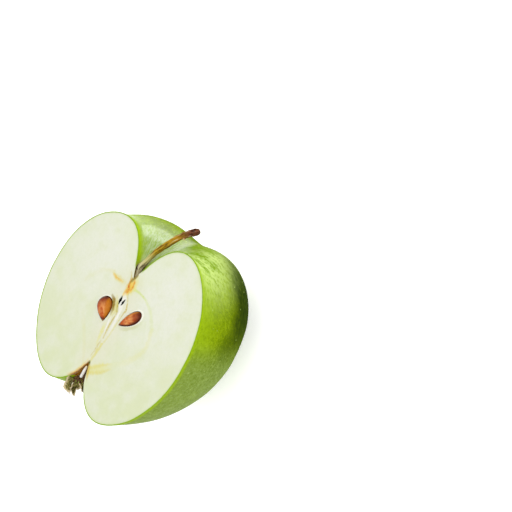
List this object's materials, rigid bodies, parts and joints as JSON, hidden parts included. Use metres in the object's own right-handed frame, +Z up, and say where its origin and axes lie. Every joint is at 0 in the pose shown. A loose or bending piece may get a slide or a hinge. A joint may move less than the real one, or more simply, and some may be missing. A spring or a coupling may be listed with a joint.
{
  "type": "halved green apple",
  "caption": "Half of a green apple cut lengthwise through its core, with stem, seeds and dried calyx, lying on its round back with the cut face up.",
  "frame": {"origin": "middle of the flat rest spot under the round back, right under the widest level of the apple", "axes": "+Z up, square to the level cut face; +X along the core to the stem end; -Y to the front lobe of the cut"},
  "size_m": [0.0673, 0.0724, 0.0424],
  "materials": {
    "skin": "waxy apple skin, light green with pale dots, glossy; the cut face is the slot flesh",
    "flesh": "moist pale green-white flesh, satin",
    "bark": "dry woody stem, olive to brown",
    "seed_shell": "smooth red-brown seed coat, glossy",
    "style": "pale fibrous rod, satin",
    "stamens": "dried dark brown bristles",
    "sepals": "dried green-brown leaves with pale edges"
  },
  "bodies": {
    "root": {"apple_half": "skin", "stem": "bark", "seed_rear": "seed_shell", "seed_front": "seed_shell", "style": "style", "stamens": "stamens", "sepal_front": "sepals", "sepal_back": "sepals", "sepal_rear": "sepals"}
  },
  "joints": []
}
